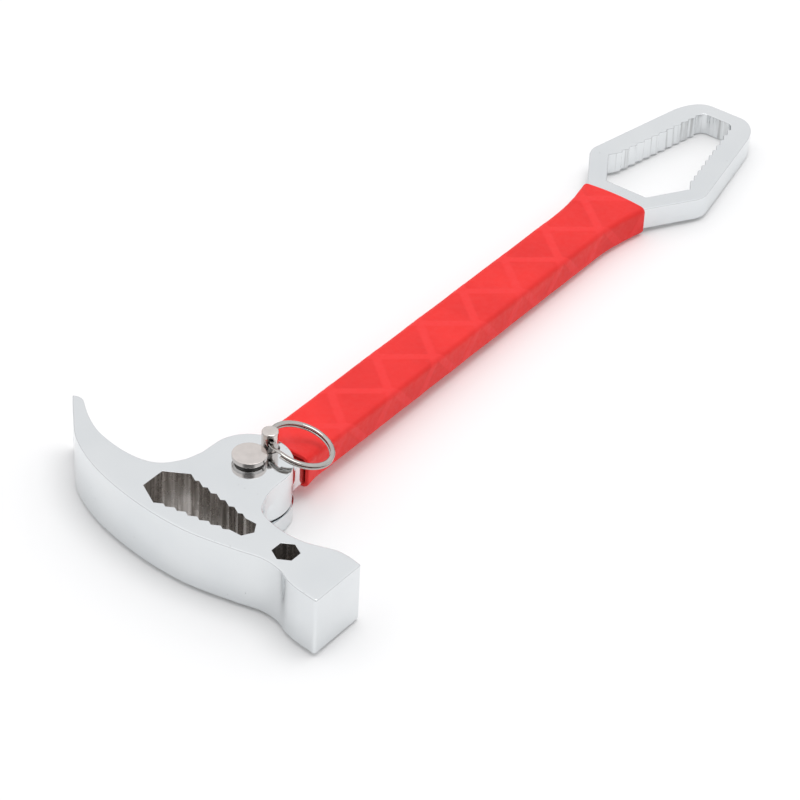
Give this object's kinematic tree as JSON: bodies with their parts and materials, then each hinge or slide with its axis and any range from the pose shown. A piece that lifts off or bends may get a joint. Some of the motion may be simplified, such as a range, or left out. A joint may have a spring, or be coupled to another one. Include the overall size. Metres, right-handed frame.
{
  "type": "fire hydrant wrench",
  "caption": "Folding hydrant wrench: hammer and claw head with a stepped hexagon socket, a lock pin, and a sleeved bar handle ending in a toothed ring wrench.",
  "frame": {"origin": "pivot axis at the underside of the head, which is the face of the pivot rivet's foot", "axes": "+Z along the pivot axis, up through the head; +Y along the unfolded handle; +X out of the striking face"},
  "size_m": [0.1274, 0.3335, 0.029],
  "materials": {
    "chrome_steel": "satin chrome plate on forged steel",
    "red_vinyl": "soft satin sleeve with embossed bands",
    "nickel_steel": "nickel plate",
    "spring_steel": "bright spring wire",
    "bronze": "plain bronze"
  },
  "bodies": {
    "head": {"hammer_head": "chrome_steel", "pivot_rivet": "nickel_steel", "rivet_washer": "nickel_steel", "friction_washer_lower": "bronze", "friction_washer_upper": "bronze"},
    "handle": {"wrench_handle": "chrome_steel", "grip_sleeve": "red_vinyl"},
    "lock_pin": {"lock_pin": "nickel_steel", "lock_spring": "spring_steel"},
    "ring": {"split_ring": "spring_steel"}
  },
  "joints": [
    {"name": "handle_fold", "type": "hinge", "parent": "head", "child": "handle", "pos_m": [0, 0, 0.011], "axis": [0, 0, 1], "range_deg": [-90, 85]},
    {"name": "lock_pin_travel", "type": "slide", "parent": "head", "child": "lock_pin", "axis": [0, 0, 1], "range_m": [-0.0006, 0.001], "stiffness_N_per_m": 200, "springref_m": -0.006, "deforming": ["lock_spring"]},
    {"name": "ring_swing", "type": "hinge", "parent": "lock_pin", "child": "ring", "pos_m": [0.0008, 0.0097, 0.0261], "axis": [0.6561, -0.7547, 0], "range_deg": [0, 120]}
  ]
}
